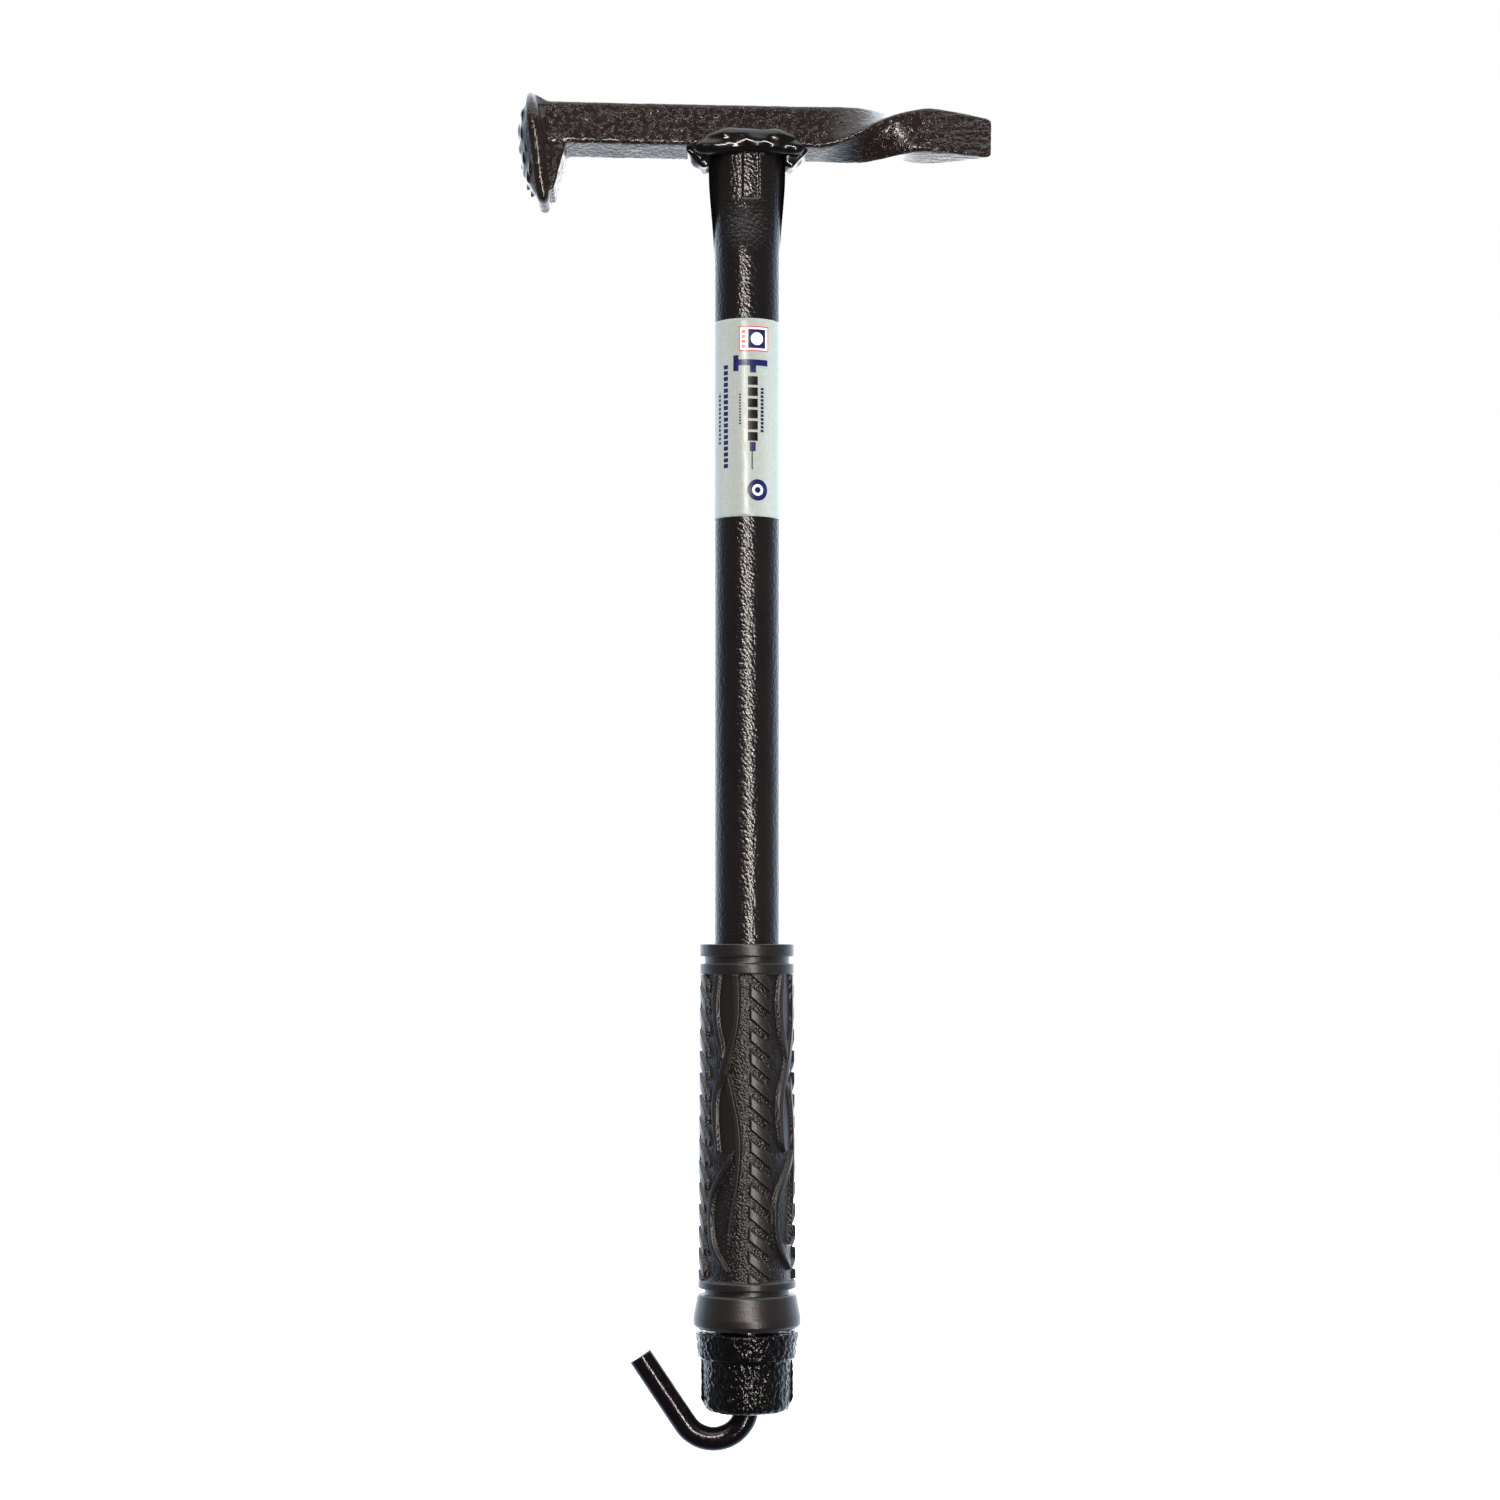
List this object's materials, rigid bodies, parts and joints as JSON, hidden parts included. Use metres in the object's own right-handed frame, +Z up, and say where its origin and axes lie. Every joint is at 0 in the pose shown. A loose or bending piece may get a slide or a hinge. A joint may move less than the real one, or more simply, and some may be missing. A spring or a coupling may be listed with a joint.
{
  "type": "combination trailer hammer with a pull-out hook",
  "caption": "Rail-spike hammer head with a twisted chisel end on a pipe handle with a rubber grip, an iron end cap and a hook rod that slides out and turns.",
  "frame": {"origin": "where the handle's axis leaves the head, on the flat top of its shank", "axes": "+Z up the handle to the head, +X along the head to its chisel end, -Y is the hammer's front"},
  "size_m": [0.1564, 0.0356, 0.4482],
  "materials": {
    "black_coat": "semi-gloss black powder coat with fine orange peel",
    "cast_black": "rough casting under glossy black paint",
    "grip_rubber": "matt moulded rubber with raised ribs and blocks",
    "label_film": "printed vinyl label with a soft sheen",
    "zinc_steel": "zinc plated",
    "nylon": "natural nylon",
    "bush_rubber": "plain matt rubber"
  },
  "bodies": {
    "handle": {"spike_head": "black_coat", "handle_pipe": "black_coat", "weld_bead_front": "black_coat", "weld_bead_rear": "black_coat", "weld_bead_left": "black_coat", "weld_bead_right": "black_coat", "label_wrap": "label_film", "grip_sleeve": "grip_rubber", "end_cap": "cast_black"},
    "rod_guide": {"guide_washer_lower": "zinc_steel", "friction_bush": "bush_rubber", "guide_washer_upper": "zinc_steel"},
    "hook": {"hook_rod": "black_coat", "stop_nut": "zinc_steel", "lock_nut": "zinc_steel", "lock_nut_insert": "nylon"}
  },
  "joints": [
    {"name": "hook_slide", "type": "slide", "parent": "handle", "child": "rod_guide", "axis": [0, 0, -1], "range_m": [0, 0.305]},
    {"name": "hook_turn", "type": "hinge", "parent": "rod_guide", "child": "hook", "pos_m": [0, 0, -0.15], "axis": [0, 0, 1], "continuous": true}
  ]
}
